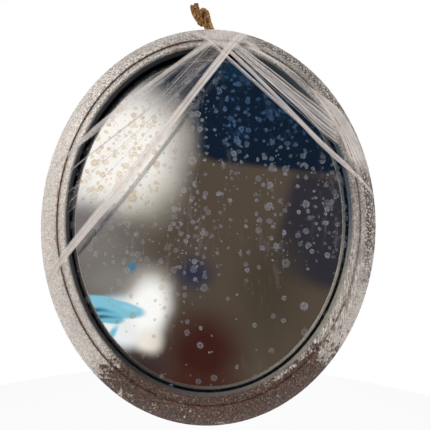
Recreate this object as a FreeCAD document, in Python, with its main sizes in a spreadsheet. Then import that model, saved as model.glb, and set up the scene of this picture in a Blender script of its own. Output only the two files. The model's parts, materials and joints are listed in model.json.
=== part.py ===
import FreeCAD, Part
import math
import os
import Sketcher

# Oval wall mirror: a leafed oval frame with a second band set into it, foxed glass, a plywood back
# held by turn buttons, a screw eye with a knotted jute loop, and fibre web stretched over the front.
# +Z is up and +X is to the right for someone who faces the mirror, so the front looks towards -Y.
# Y = 0 is the wall, and the origin is where the wall hook passes through the loop.

document = FreeCAD.newDocument("oval_wall_mirror")
V = FreeCAD.Vector
TOP = V(0, 0, 1)
BACK = V(0, 1, 0)

# Name, value in mm or degrees. A depth is measured forward from the wall, and a name that ends
# in _in is measured inwards from the oval outline.
DIMENSIONS = [
    ("semi_width", 167.0),
    ("semi_height", 200.0),
    ("centre_right", 6.6),
    ("centre_drop", 209.5),
    ("back_depth", 6.0),
    ("glass_depth", 16.0),
    ("nose_depth", 17.4),
    ("band_depth", 25.0),
    ("step_depth", 24.3),
    ("slip_shoulder_depth", 23.7),
    ("slip_edge_depth", 24.0),
    ("lip_depth", 26.6),
    ("ledge_thickness", 2.0),
    ("cheek_depth", 16.5),
    ("cheek_in", 0.5),
    ("nose_in", 1.8),
    ("band_in", 18.8),
    ("seam_in", 19.4),
    ("slip_edge_in", 20.2),
    ("lip_in", 27.3),
    ("sight_in", 27.9),
    ("rabbet_in", 21.7),
    ("band_radius", 46.0),
    ("slip_radius", 24.0),
    ("edge_chamfer", 1.2),
    ("seam_gap", 0.1),
    ("rabbet_gap", 0.7),
    ("glass_thickness", 3.0),
    ("pad_thickness", 2.0),
    ("board_thickness", 5.0),
    ("board_arris", 0.8),
    ("pocket_width", 26.0),
    ("pocket_reach", 19.0),
    ("pocket_depth", 5.4),
    ("eye_in", 10.0),
    ("eye_radius", 4.2),
    ("eye_wire", 1.2),
    ("eye_shank_length", 8.0),
    ("button_in", 14.0),
    ("button_reach", 11.0),
    ("button_radius", 5.0),
    ("button_nose_radius", 3.0),
    ("button_thickness", 1.2),
    ("button_hole_radius", 1.6),
    ("button_gap", 0.1),
    ("screw_radius", 1.45),
    ("screw_length", 9.0),
    ("screw_head_radius", 2.9),
    ("screw_head_height", 1.8),
    ("screw_head_bevel", 0.9),
    ("pilot_radius", 1.4),
    ("bumper_in", 11.0),
    ("bumper_angle", 20.0),
    ("bumper_radius", 5.5),
    ("cord_radius", 2.2),
    ("knot_depth", 7.4),
    ("knot_radius", 7.0),
    ("knot_bevel", 3.2),
    ("knot_height", 21.6),
    ("knot_lean", 14.0),
    ("web_thickness", 0.5),
    ("web_rear_depth", 12.0),
    ("web_hem", 1.0),
]

BUTTON_ANGLES = (30, 90, 150, 210, 270, 330)
HOLE_SIDES = 10
HEAD_SIDES = 12
WIRE_SIDES = 6
EYE_SIDES = 20
CORD_SIDES = 6
KNOT_SIDES = 12
BEND_SHARE = 0.45
NEAR = 0.01
SMALLEST_CUT = 1.0


def make_sheet():
    sheet = document.addObject("Spreadsheet::Sheet", "Size")
    for row, (alias, value) in enumerate(DIMENSIONS, start=1):
        sheet.set("A%d" % row, alias)
        sheet.set("B%d" % row, str(value))
        sheet.setAlias("B%d" % row, alias)
    document.recompute()
    return sheet


size = make_sheet()


def number(expression):
    """The value of an expression in the sheet's aliases, such as "Size.lip_in / 2"."""
    return float(size.evalExpression(expression))


def place_in_frame(item):
    """Moves a piece modelled about the centre of the oval to its place below the hook."""
    item.setExpression("Placement.Base.x", "Size.centre_right")
    item.setExpression("Placement.Base.z", "-Size.centre_drop")


def frame_offset():
    return V(number("Size.centre_right"), 0, -number("Size.centre_drop"))


def new_body(label):
    body = document.addObject("PartDesign::Body", label)
    body.Label = label
    return body


def new_sketch(body, name, role, offset=None):
    """A sketch on one of the body's own origin planes, moved along the plane's normal by offset."""
    plane = next(item for item in body.Origin.OriginFeatures if item.Role == role)
    sketch = body.newObject("Sketcher::SketchObject", name)
    sketch.AttachmentSupport = (plane, "")
    sketch.MapMode = "FlatFace"
    if offset:
        sketch.setExpression("AttachmentOffset.Base.z", offset)
    document.recompute()
    return sketch


def fix_point(sketch, line, end, name, across, up):
    """Fixes one end of a line or arc at (across, up) from the sketch's origin, by expressions."""
    for kind, axis, expression in (("DistanceX", "x", across), ("DistanceY", "y", up)):
        value = number(expression)
        if value < 0:
            constraint = Sketcher.Constraint(kind, line, end, -1, 1, -value)
            expression = "-(%s)" % expression
        else:
            constraint = Sketcher.Constraint(kind, -1, 1, line, end, value)
        index = sketch.addConstraint(constraint)
        sketch.renameConstraint(index, name + "_" + axis)
        sketch.setExpression("Constraints." + name + "_" + axis, expression)


def arc_through(start, end, radius):
    """The short arc between two points that bulges to the right of the way from start to end."""
    chord = end - start
    half = chord.Length / 2
    side = V(chord.y, -chord.x, 0).normalize()
    rise = radius - math.sqrt(radius * radius - half * half)
    return Part.Arc(start, (start + end) / 2 + side * rise, end)


def draw_outline(sketch, corners, arcs=None, hollow=None):
    """A closed outline through corners given as pairs of expressions, bound to the sheet.

    arcs holds, by the index of the corner where it starts, the expression of an arc's radius. An
    arc bulges to the right of the way round, and the one whose index is hollow to the left.
    """
    arcs = arcs or {}
    points = [V(number(across), number(up), 0) for across, up in corners]
    for index, start in enumerate(points):
        finish = points[(index + 1) % len(points)]
        if index == hollow:
            sketch.addGeometry(arc_through(finish, start, number(arcs[index])), False)
        elif index in arcs:
            sketch.addGeometry(arc_through(start, finish, number(arcs[index])), False)
        else:
            sketch.addGeometry(Part.LineSegment(start, finish), False)
    near_ends = [2 if index == hollow else 1 for index in range(len(points))]
    for index, near_end in enumerate(near_ends):
        following = (index + 1) % len(points)
        far_end = 3 - near_end
        sketch.addConstraint(
            Sketcher.Constraint("Coincident", index, far_end, following, near_ends[following]))
        fix_point(sketch, index, near_end, "corner%d" % index, *corners[index])
        if index in arcs:
            bend = sketch.addConstraint(Sketcher.Constraint("Radius", index, number(arcs[index])))
            sketch.renameConstraint(bend, "radius%d" % index)
            sketch.setExpression("Constraints.radius%d" % index, arcs[index])


def draw_ellipse(sketch, semi_across, semi_up):
    """An ellipse about the sketch's origin that stands on its long axis."""
    top = V(0, number(semi_up), 0)
    right = V(number(semi_across), 0, 0)
    sketch.addGeometry(Part.Ellipse(top, right, V(0, 0, 0)), False)
    sketch.exposeInternalGeometry(0)
    long_axis, short_axis = 1, 2
    sketch.addConstraint(Sketcher.Constraint("Coincident", 0, 3, -1, 1))
    sketch.addConstraint(Sketcher.Constraint("Vertical", long_axis))
    for axis, name, half in ((long_axis, "height", semi_up), (short_axis, "width", semi_across)):
        index = sketch.addConstraint(Sketcher.Constraint("Distance", axis, 2 * number(half)))
        sketch.renameConstraint(index, name)
        sketch.setExpression("Constraints." + name, "2 * (%s)" % half)


def oval_sweep(label, corners, arcs=None, hollow=None):
    """A body swept round the oval outline. Corners are pairs (depth from the wall, distance in)."""
    body = new_body(label)
    path = new_sketch(body, label + "_path", "XZ_Plane")
    draw_ellipse(path, "Size.semi_width", "Size.semi_height")
    section = new_sketch(body, label + "_section", "YZ_Plane")
    drawn = [("-(%s)" % depth, "Size.semi_height - (%s)" % inward) for depth, inward in corners]
    draw_outline(section, drawn, arcs, hollow)
    sweep = body.newObject("PartDesign::AdditivePipe", label + "_sweep")
    sweep.Profile = section
    sweep.Spine = (path, ["Edge1"])
    path.Visibility = False
    document.recompute()
    return body


def oval_plate(label, inward, rear_depth, thickness):
    """A flat oval plate from rear_depth forward by thickness."""
    body = new_body(label)
    sketch = new_sketch(body, label + "_outline", "XZ_Plane", rear_depth)
    draw_ellipse(sketch, "Size.semi_width - (%s)" % inward, "Size.semi_height - (%s)" % inward)
    pad = body.newObject("PartDesign::Pad", label + "_pad")
    pad.Profile = sketch
    pad.setExpression("Length", thickness)
    document.recompute()
    return body


def outline_point(angle, inward):
    """A point at a distance inside the outline, and the outward normal there.

    The angle runs clockwise from the top, as the mirror's user sees it.
    """
    turn = math.radians(angle)
    semi_width = number("Size.semi_width")
    semi_height = number("Size.semi_height")
    normal = V(math.sin(turn) / semi_width, 0, math.cos(turn) / semi_height).normalize()
    edge = V(semi_width * math.sin(turn), 0, semi_height * math.cos(turn))
    return edge - normal * inward, normal


# ---- frame ----------------------------------------------------------------------------------

def draw_hole(sketch, name, centre, radius):
    """The outline of a small screw hole, with as many sides as the screw's shank."""
    first = sketch.GeometryCount
    turns = [2 * math.pi * side / HOLE_SIDES for side in range(HOLE_SIDES)]
    corners = [centre + V(math.cos(turn), math.sin(turn), 0) * number(radius) for turn in turns]
    for start, finish in zip(corners, corners[1:] + corners[:1]):
        sketch.addGeometry(Part.LineSegment(start, finish), False)
    circle = sketch.addGeometry(Part.Circle(centre, V(0, 0, 1), number(radius)), True)
    for side in range(HOLE_SIDES):
        following = first + (side + 1) % HOLE_SIDES
        sketch.addConstraint(Sketcher.Constraint("Coincident", first + side, 2, following, 1))
        sketch.addConstraint(Sketcher.Constraint("PointOnObject", first + side, 1, circle))
    bore = sketch.addConstraint(Sketcher.Constraint("Radius", circle, number(radius)))
    sketch.renameConstraint(bore, name)
    sketch.setExpression("Constraints." + name, radius)


def cut_from_back(body, name, sketch, depth):
    """A pocket cut forward from the sketch's plane, and a check that it removed material."""
    before = body.Shape.Volume
    pocket = body.newObject("PartDesign::Pocket", name)
    pocket.Profile = sketch
    pocket.setExpression("Length", depth)
    pocket.Reversed = True
    document.recompute()
    if body.Shape.Volume > before - SMALLEST_CUT:
        raise RuntimeError(name + " removed nothing")


def make_moulding():
    """The outer moulding: a convex band that rises inwards to a small step, over a rabbeted back."""
    step_edge = "Size.glass_depth + Size.ledge_thickness"
    body = oval_sweep(
        "frame_moulding",
        [
            ("Size.back_depth", "Size.edge_chamfer"),
            ("Size.back_depth + Size.edge_chamfer", "0"),
            ("Size.glass_depth - Size.edge_chamfer", "0"),
            ("Size.cheek_depth", "Size.cheek_in"),
            ("Size.nose_depth", "Size.nose_in"),
            ("Size.band_depth", "Size.band_in"),
            ("Size.step_depth", "Size.seam_in"),
            (step_edge, "Size.seam_in"),
            (step_edge, "Size.sight_in"),
            ("Size.glass_depth", "Size.sight_in"),
            ("Size.glass_depth", "Size.rabbet_in"),
            ("Size.back_depth", "Size.rabbet_in"),
        ],
        {4: "Size.band_radius"},
    )
    pocket = new_sketch(body, "eye_pocket_outline", "XZ_Plane", "Size.back_depth")
    half_width = "Size.pocket_width / 2"
    floor = "Size.semi_height - Size.pocket_reach"
    above = "Size.semi_height + Size.edge_chamfer"
    draw_outline(pocket, [("-" + half_width, floor), (half_width, floor),
                          (half_width, above), ("-" + half_width, above)])
    cut_from_back(body, "eye_pocket", pocket, "Size.pocket_depth")
    pilots = new_sketch(body, "pilot_outline", "XZ_Plane", "Size.back_depth")
    for index, angle in enumerate(BUTTON_ANGLES):
        spot, _normal = outline_point(angle, number("Size.button_in"))
        draw_hole(pilots, "pilot%d" % index, V(spot.x, spot.z, 0), "Size.pilot_radius")
    cut_from_back(body, "pilot_holes", pilots, "Size.screw_length")
    place_in_frame(body)
    return body


def make_slip():
    """The narrow inner band, laid on the moulding's ledge, with a crisp lip and a plain inner wall."""
    ledge = "Size.glass_depth + Size.ledge_thickness"
    body = oval_sweep(
        "inner_slip",
        [
            (ledge, "Size.seam_in + Size.seam_gap"),
            ("Size.slip_shoulder_depth", "Size.seam_in + Size.seam_gap"),
            ("Size.slip_edge_depth", "Size.slip_edge_in"),
            ("Size.lip_depth", "Size.lip_in"),
            (ledge, "Size.sight_in"),
        ],
        {2: "Size.slip_radius"},
    )
    place_in_frame(body)
    return body


# ---- glass and back ---------------------------------------------------------------------------

def make_layers():
    """The mirror, the card behind its silvering and the plywood back, stacked in the rabbet."""
    inward = "Size.rabbet_in + Size.rabbet_gap"
    glass_rear = "Size.glass_depth - Size.glass_thickness"
    pad_rear = glass_rear + " - Size.pad_thickness"
    board_rear = pad_rear + " - Size.board_thickness"
    glass = oval_plate("mirror_glass", inward, glass_rear, "Size.glass_thickness")
    pad = oval_plate("glass_pad", inward, pad_rear, "Size.pad_thickness")
    board = oval_plate("backing_board", inward, board_rear, "Size.board_thickness")
    sawn = board.Tip
    rear_edges = [
        "Edge%d" % (index + 1) for index, edge in enumerate(sawn.Shape.Edges)
        if abs(edge.CenterOfMass.y + number(board_rear)) < NEAR and edge.Closed]
    arris = board.newObject("PartDesign::Chamfer", "board_arris")
    arris.Base = (sawn, rear_edges)
    arris.setExpression("Size", "Size.board_arris")
    document.recompute()
    for layer in (glass, pad, board):
        place_in_frame(layer)
    return [glass, pad, board]


# ---- turn buttons -----------------------------------------------------------------------------

def draw_button(sketch):
    """The outline of a turn button: a round pivot end, a smaller round nose and straight sides."""
    pivot_radius = number("Size.button_radius")
    nose_radius = number("Size.button_nose_radius")
    reach = number("Size.button_reach")
    slope = math.asin((pivot_radius - nose_radius) / reach)
    side = V(math.cos(slope), -math.sin(slope), 0)
    mirrored = V(-side.x, side.y, 0)
    nose = V(0, -reach, 0)
    sketch.addGeometry(Part.Arc(side * pivot_radius, V(0, pivot_radius, 0), mirrored * pivot_radius))
    sketch.addGeometry(Part.LineSegment(mirrored * pivot_radius, nose + mirrored * nose_radius))
    sketch.addGeometry(
        Part.Arc(nose + mirrored * nose_radius, nose - V(0, nose_radius, 0), nose + side * nose_radius))
    sketch.addGeometry(Part.LineSegment(nose + side * nose_radius, side * pivot_radius))
    pivot_arc, left_side, nose_arc, right_side = range(4)
    for first, second in ((pivot_arc, left_side), (left_side, nose_arc),
                          (nose_arc, right_side), (right_side, pivot_arc)):
        sketch.addConstraint(Sketcher.Constraint("Tangent", first, 2, second, 1))
    sketch.addConstraint(Sketcher.Constraint("Coincident", pivot_arc, 3, -1, 1))
    sketch.addConstraint(Sketcher.Constraint("PointOnObject", nose_arc, 3, -2))
    for name, constraint in (
            ("button_radius", Sketcher.Constraint("Radius", pivot_arc, pivot_radius)),
            ("button_nose_radius", Sketcher.Constraint("Radius", nose_arc, nose_radius)),
            ("button_reach", Sketcher.Constraint("DistanceY", nose_arc, 3, -1, 1, reach))):
        index = sketch.addConstraint(constraint)
        sketch.renameConstraint(index, name)
        sketch.setExpression("Constraints." + name, "Size." + name)


def make_button(index, angle):
    """A metal turn button whose nose lies over the edge of the plywood back."""
    label = "turn_button_%d" % index
    body = new_body(label)
    rear = "Size.back_depth - Size.button_gap - Size.button_thickness"
    outline = new_sketch(body, label + "_outline", "XZ_Plane", rear)
    draw_button(outline)
    plate = body.newObject("PartDesign::Pad", label + "_plate")
    plate.Profile = outline
    plate.setExpression("Length", "Size.button_thickness")
    document.recompute()
    hole = new_sketch(body, label + "_hole", "XZ_Plane", "Size.back_depth")
    draw_hole(hole, "bore", V(0, 0, 0), "Size.button_hole_radius")
    before = body.Shape.Volume
    drilled = body.newObject("PartDesign::Pocket", label + "_bore")
    drilled.Profile = hole
    drilled.Type = 1
    document.recompute()
    if body.Shape.Volume > before - SMALLEST_CUT:
        raise RuntimeError(label + " has no hole")
    spot, normal = outline_point(angle, number("Size.button_in"))
    turn = math.degrees(math.atan2(normal.x, normal.z))
    body.Placement = FreeCAD.Placement(spot + frame_offset(), FreeCAD.Rotation(BACK, turn))
    return body


def bevelled(label, sides, start, along, sizes, ends):
    """A many-sided round form with bevelled ends; sizes are its radius, height and bevel.

    ends holds the shares of the height, 0 and 1, whose edges are bevelled.
    """
    radius, height, bevel = sizes
    blank = document.addObject("Part::Prism", label + "_blank")
    blank.Polygon = sides
    blank.setExpression("Circumradius", radius)
    blank.setExpression("Height", height)
    blank.Placement = FreeCAD.Placement(start, FreeCAD.Rotation(TOP, along))
    document.recompute()
    cut = number(bevel)
    levels = [number(height) * end for end in ends]
    rims = []
    for index, edge in enumerate(blank.Shape.Edges, start=1):
        heights = [(vertex.Point - start).dot(along) for vertex in edge.Vertexes]
        if any(max(abs(rise - level) for rise in heights) < NEAR for level in levels):
            rims.append((index, cut, cut))
    form = document.addObject("Part::Chamfer", label)
    form.Base = blank
    form.Edges = rims
    return form


def make_screws():
    """Six round-head screws, one through each turn button."""
    screws = []
    head_depth = "Size.back_depth - 2 * Size.button_gap - Size.button_thickness"
    for index, angle in enumerate(BUTTON_ANGLES, start=1):
        spot, _normal = outline_point(angle, number("Size.button_in"))
        spot += frame_offset()
        shank = document.addObject("Part::Prism", "screw_shank_%d" % index)
        shank.Polygon = HOLE_SIDES
        shank.setExpression("Circumradius", "Size.screw_radius")
        shank.setExpression("Height", "Size.screw_length + Size.button_thickness")
        shank.Placement = FreeCAD.Placement(
            spot + V(0, -number(head_depth), 0), FreeCAD.Rotation(TOP, -BACK))
        seat = spot + V(0, -number(head_depth), 0)
        head_sizes = ("Size.screw_head_radius", "Size.screw_head_height", "Size.screw_head_bevel")
        head = bevelled("screw_head_%d" % index, HEAD_SIDES, seat, BACK, head_sizes, (1,))
        screw = document.addObject("Part::Fuse", "screw_%d" % index)
        screw.Base = head
        screw.Tool = shank
        screws.append(screw)
    group = document.addObject("Part::Compound", "button_screws")
    group.Links = screws
    group.Label = "button_screws"
    return group


# ---- hanging eye, cord and bumpers --------------------------------------------------------------

def eye_centre():
    """The centre of the screw eye's ring, which stands upright behind the floor of its pocket."""
    floor = number("Size.back_depth + Size.pocket_depth")
    outer = number("Size.eye_radius + Size.eye_wire")
    return V(0, outer - floor, number("Size.semi_height - Size.eye_in")) + frame_offset()


def make_eye():
    """A screw eye: a ring of wire in the plane across the wall, on a shank driven into the moulding."""
    centre = eye_centre()
    floor = -number("Size.back_depth + Size.pocket_depth")
    round_path = document.addObject("Part::RegularPolygon", "eye_path")
    round_path.Polygon = EYE_SIDES
    round_path.setExpression("Circumradius", "Size.eye_radius")
    across_wall = FreeCAD.Rotation(TOP, V(1, 0, 0))
    round_path.Placement = FreeCAD.Placement(centre, across_wall)
    document.recompute()
    first_edge = round_path.Shape.Edges[0]
    section = document.addObject("Part::RegularPolygon", "eye_section")
    section.Polygon = WIRE_SIDES
    section.setExpression("Circumradius", "Size.eye_wire")
    section.Placement = FreeCAD.Placement(
        first_edge.CenterOfMass, FreeCAD.Rotation(TOP, first_edge.tangentAt(0)))
    ring = document.addObject("Part::Sweep", "eye_ring")
    ring.Sections = [section]
    ring.Spine = (round_path, [])
    ring.Solid = True
    ring.Transition = "Right corner"
    shank = document.addObject("Part::Prism", "eye_shank")
    shank.Polygon = WIRE_SIDES
    shank.setExpression("Circumradius", "Size.eye_wire")
    shank.setExpression("Height", "Size.eye_shank_length + Size.eye_wire")
    root = V(centre.x, floor + number("Size.eye_wire"), centre.z)
    shank.Placement = FreeCAD.Placement(root, FreeCAD.Rotation(TOP, -BACK))
    eye = document.addObject("Part::Fuse", "screw_eye")
    eye.Base = ring
    eye.Tool = shank
    eye.Label = "screw_eye"
    return eye


def cord_tube(label, points):
    """A plain six-sided tube along straight runs joined by tangent arcs.

    Each arc is as large as its two runs allow.
    """
    radius = number("Size.cord_radius")
    edges = []
    start = points[0]
    for before, corner, after in zip(points, points[1:], points[2:]):
        arriving = (corner - before).normalize()
        leaving = (after - corner).normalize()
        half_turn = arriving.getAngle(leaving) / 2
        shorter = min((corner - before).Length, (after - corner).Length)
        cut = BEND_SHARE * shorter
        bend = cut / math.tan(half_turn)
        print("%s: arc radius %.1f mm, %.1f diameters" % (label, bend, bend / (2 * radius)))
        begin = corner - arriving * cut
        end = corner + leaving * cut
        inward = (leaving - arriving).normalize()
        middle = corner + inward * (bend / math.cos(half_turn) - bend)
        edges.append(Part.LineSegment(start, begin).toShape())
        edges.append(Part.Arc(begin, middle, end).toShape())
        start = end
    edges.append(Part.LineSegment(start, points[-1]).toShape())
    path = Part.Wire(edges)
    first_run = (points[1] - points[0]).normalize()
    rim = Part.Circle(points[0], first_run, radius)
    corners = [rim.value(2 * math.pi * side / CORD_SIDES) for side in range(CORD_SIDES)]
    ring = Part.makePolygon(corners + corners[:1])
    tube = path.makePipeShell([ring], True, False, 1)
    ratio = tube.Volume / (Part.Face(ring).Area * path.Length)
    print("%s: length %.1f mm, volume over section times length %.3f" % (label, path.Length, ratio))
    piece = document.addObject("Part::Feature", label)
    piece.Shape = tube
    piece.Label = label
    return piece


# The jute cord hangs in the plane of the screw eye's ring, so its route is given as (right, up)
# from the oval's centre.
LOOP_ROUTE = [(-11.3, 217.4), (-8.1, 208.4), (-4.8, 199.5), (-2.2, 189.6),
              (4.6, 192.2), (0.4, 201.2), (-3.3, 210.2), (-6.4, 219.2)]
KNOT_CENTRE = (-14.5, 222.4)
TAIL_LEFT_ROUTE = [(-20.4, 219.9), (-22.9, 225.0), (-25.4, 230.7), (-27.5, 236.5)]
TAIL_RIGHT_ROUTE = [(-18.2, 226.0), (-19.4, 230.9), (-20.7, 235.8), (-22.2, 240.5)]


def in_cord_plane(route):
    depth = eye_centre().y
    return [V(right, depth, up) + frame_offset() for right, up in route]


def make_knot():
    """The outer shape of the tied knot: a barrel with tapered ends that leans with the cord."""
    along = FreeCAD.Rotation(BACK, -number("Size.knot_lean")).multVec(TOP)
    right, up = KNOT_CENTRE
    centre = V(right, -number("Size.knot_depth"), up) + frame_offset()
    foot = centre - along * number("Size.knot_height / 2")
    knot_sizes = ("Size.knot_radius", "Size.knot_height", "Size.knot_bevel")
    knot = bevelled("cord_knot", KNOT_SIDES, foot, along, knot_sizes, (0, 1))
    knot.Label = "cord_knot"
    return knot


def make_cord():
    """The doubled jute cord: the loop through the eye, the knot as one lump, and the two tails."""
    loop = cord_tube("hanging_cord", in_cord_plane(LOOP_ROUTE))
    left = cord_tube("cord_tail_left", in_cord_plane(TAIL_LEFT_ROUTE))
    right = cord_tube("cord_tail_right", in_cord_plane(TAIL_RIGHT_ROUTE))
    knot = make_knot()
    return [loop, left, right, knot]


def make_bumper(label, angle):
    """A moulded rubber pad on the foot of the frame's back that meets the wall."""
    spot, _normal = outline_point(angle, number("Size.bumper_in"))
    spot += frame_offset()
    pad = document.addObject("Part::Cylinder", label)
    pad.setExpression("Radius", "Size.bumper_radius")
    pad.setExpression("Height", "Size.back_depth")
    pad.Placement = FreeCAD.Placement(
        spot + V(0, -number("Size.back_depth"), 0), FreeCAD.Rotation(TOP, BACK))
    pad.Label = label
    return pad


# ---- stretched web ------------------------------------------------------------------------------

# Each piece of web is a strip of one thin skin that is stretched over the face of the frame and
# straight across the recess. Its plan is given as (right, up) corners from the oval's centre.
WEB_PLANS = {
    "web_crown": [(-16, 206), (-14, 181), (-48, 128), (-40, 120), (6, 164), (20, 163), (38, 180),
                  (48, 206)],
    "web_strand_left_upper": [(-4, 181), (-3, 171.5), (-168, 22), (-168, 28)],
    "web_strand_left_lower": [(14, 176), (20, 168.5), (-156, -88.5), (-160, -81.5)],
    "web_strand_right_lower": [(10, 176), (7, 171), (168, 4), (168, 12)],
    "web_strand_right_upper": [(22, 184), (14, 176), (129, 63), (133, 88)],
    "web_film_right": [(44, 180), (34, 171), (72, 154), (108, 120), (128, 80), (140, 44), (174, 24),
                       (178, 60), (150, 116), (132, 106), (80, 151)],
}


def make_skin():
    """The whole stretched skin, from the frame's outer side over its face and across the recess."""
    ring = oval_sweep(
        "web_ring",
        [
            ("Size.web_rear_depth", "0"),
            ("Size.web_rear_depth", "-Size.web_thickness"),
            ("Size.glass_depth - Size.edge_chamfer", "-Size.web_thickness"),
            ("Size.cheek_depth + Size.web_thickness", "Size.cheek_in - Size.web_thickness"),
            ("Size.nose_depth + Size.web_thickness", "Size.nose_in - Size.web_thickness / 2"),
            ("Size.band_depth + Size.web_thickness", "Size.band_in"),
            ("Size.lip_depth + Size.web_thickness", "Size.lip_in"),
            ("Size.lip_depth + Size.web_thickness", "Size.lip_in + Size.web_hem"),
            ("Size.lip_depth", "Size.lip_in + Size.web_hem"),
            ("Size.lip_depth", "Size.lip_in"),
            ("Size.band_depth", "Size.band_in"),
            ("Size.nose_depth", "Size.nose_in"),
            ("Size.cheek_depth", "Size.cheek_in"),
            ("Size.glass_depth - Size.edge_chamfer", "0"),
        ],
        {4: "Size.band_radius + Size.web_thickness", 10: "Size.band_radius"},
        10,
    )
    place_in_frame(ring)
    rim = "Size.lip_in + Size.web_hem / 2"
    across = oval_plate("web_span", rim, "Size.lip_depth", "Size.web_thickness")
    place_in_frame(across)
    skin = document.addObject("Part::Fuse", "web_skin")
    skin.Base = ring
    skin.Tool = across
    document.recompute()
    return skin


def make_web(skin):
    """The pieces of web, each cut from the skin by its plan less the plans of those laid before it."""
    pieces = []
    covered = None
    forward = V(0, -number("Size.lip_depth + 2 * Size.web_thickness"), 0)
    for label, plan in WEB_PLANS.items():
        corners = [V(right, 0, up) + frame_offset() for right, up in plan]
        outline = Part.Face(Part.makePolygon(corners + corners[:1]))
        bare = outline.cut(covered) if covered else outline
        covered = covered.fuse(outline) if covered else outline
        prism = document.addObject("Part::Feature", label + "_plan")
        prism.Shape = bare.extrude(forward)
        piece = document.addObject("Part::Common", label)
        piece.Base = skin
        piece.Tool = prism
        piece.Label = label
        pieces.append(piece)
    document.recompute()
    return pieces


# ---- the whole ----------------------------------------------------------------------------------

moulding = make_moulding()
slip = make_slip()
nodes = [moulding, slip]
nodes += make_layers()
nodes += [make_button(index, angle) for index, angle in enumerate(BUTTON_ANGLES, start=1)]
nodes.append(make_screws())
nodes.append(make_eye())
nodes += make_cord()
nodes.append(make_bumper("wall_bumper_right", 180 - number("Size.bumper_angle")))
nodes.append(make_bumper("wall_bumper_left", 180 + number("Size.bumper_angle")))
nodes += make_web(make_skin())

document.recompute()
for item in document.Objects:
    if "Invalid" in item.State or "Error" in item.State:
        raise RuntimeError("%s is %s" % (item.Label, item.State))
for node in nodes:
    if node.Shape.isNull() or not node.Shape.isValid():
        raise RuntimeError(node.Label + " has no valid shape")

os.makedirs("parts", exist_ok=True)
for node in nodes:
    node.Shape.exportStep("parts/%s.step" % node.Label)
    print("%-26s %d solid(s) %9.1f mm3" % (node.Label, len(node.Shape.Solids), node.Shape.Volume))
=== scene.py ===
"""Looks of the oval wall mirror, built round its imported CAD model. Lengths are in metres."""
import json
import math
import random

import bpy
import numpy as np
from mathutils import Matrix, Vector, noise


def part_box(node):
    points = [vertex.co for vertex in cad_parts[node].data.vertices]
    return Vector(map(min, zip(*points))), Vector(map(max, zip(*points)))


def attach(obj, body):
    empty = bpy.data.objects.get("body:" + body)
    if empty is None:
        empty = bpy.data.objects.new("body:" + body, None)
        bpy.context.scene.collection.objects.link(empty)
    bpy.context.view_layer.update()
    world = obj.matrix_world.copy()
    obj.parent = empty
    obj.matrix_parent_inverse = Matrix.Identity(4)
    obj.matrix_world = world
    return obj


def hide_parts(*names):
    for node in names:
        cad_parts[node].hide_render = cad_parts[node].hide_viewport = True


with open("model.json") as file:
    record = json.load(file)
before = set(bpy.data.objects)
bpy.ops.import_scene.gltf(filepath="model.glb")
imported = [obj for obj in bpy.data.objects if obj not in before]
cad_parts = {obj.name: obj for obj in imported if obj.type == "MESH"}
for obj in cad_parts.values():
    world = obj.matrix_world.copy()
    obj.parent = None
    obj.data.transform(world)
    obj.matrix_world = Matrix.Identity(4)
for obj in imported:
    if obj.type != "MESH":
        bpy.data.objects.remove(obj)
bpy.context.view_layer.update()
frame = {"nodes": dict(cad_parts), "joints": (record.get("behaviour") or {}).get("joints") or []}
NODES = frame["nodes"]
MM = 0.001

# ---- places, from the frame ----

outline_low, outline_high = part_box("frame_moulding")
CENTRE = (outline_low + outline_high) / 2
SEMI_WIDTH = (outline_high.x - outline_low.x) / 2
SEMI_HEIGHT = (outline_high.z - outline_low.z) / 2
BACK_DEPTH = -outline_high.y
BAND_DEPTH = -outline_low.y
LIP_DEPTH = -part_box("inner_slip")[0].y
GLASS_DEPTH = -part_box("mirror_glass")[0].y

# Distances in from the outline, and the depths of the corners of the frame's section.
NOSE_IN, NOSE_DEPTH = 1.8 * MM, 17.4 * MM
CHEEK_IN, CHEEK_DEPTH = 0.5 * MM, 16.5 * MM
BAND_IN = 18.8 * MM
SEAM_IN, STEP_DEPTH = 19.4 * MM, 24.3 * MM
SLIP_IN, SLIP_DEPTH = 20.2 * MM, 24.0 * MM
LIP_IN = 27.3 * MM
SIGHT_IN = 27.9 * MM
GROOVE_DEPTH = 22.6 * MM
BAND_RADIUS = 46 * MM
SLIP_RADIUS = 24 * MM
CHEEK_SLOPE = 0.6
EYE_DEPTH = 6.0 * MM
BLACK = (0.004, 0.006, 0.014)


def at(right, up, depth):
    """A point given from the oval's centre, and forward from the wall."""
    return Vector((CENTRE.x + right, -depth, CENTRE.z + up))


def normal_at(turn):
    """The outline's outward direction; turn runs clockwise from the top, in radians."""
    return Vector((math.sin(turn) / SEMI_WIDTH, math.cos(turn) / SEMI_HEIGHT)).normalized()


def outline(turn, inward):
    """(right, up) of a point inside the outline."""
    edge = Vector((SEMI_WIDTH * math.sin(turn), SEMI_HEIGHT * math.cos(turn)))
    return edge - normal_at(turn) * inward


def distance_in(right, up):
    """How far a point lies inside the outline, and the turn at which the outline is nearest."""
    rounds = 6
    place = Vector((right, up))
    turn = math.atan2(right / SEMI_WIDTH, up / SEMI_HEIGHT)
    for _ in range(rounds):
        tangent = Vector((SEMI_WIDTH * math.cos(turn), -SEMI_HEIGHT * math.sin(turn)))
        turn += (place - outline(turn, 0)).dot(tangent) / tangent.length_squared
    return (outline(turn, 0) - place).dot(normal_at(turn)), turn


def bulged(start, end, radius, steps):
    """Points of a section from start to end on an arc that bulges away from the wall."""
    start, end = Vector(start), Vector(end)
    chord = end - start
    out = Vector((chord.y, -chord.x)).normalized()
    if out.x < 0:
        out = -out
    middle = (start + end) / 2 - out * math.sqrt(radius ** 2 - (chord.length / 2) ** 2)
    first = start - middle
    sweep = -first.angle_signed(end - middle)
    turns = [Matrix.Rotation(sweep * step / steps, 2) for step in range(steps + 1)]
    return [tuple(middle + turn @ first) for turn in turns]


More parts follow.
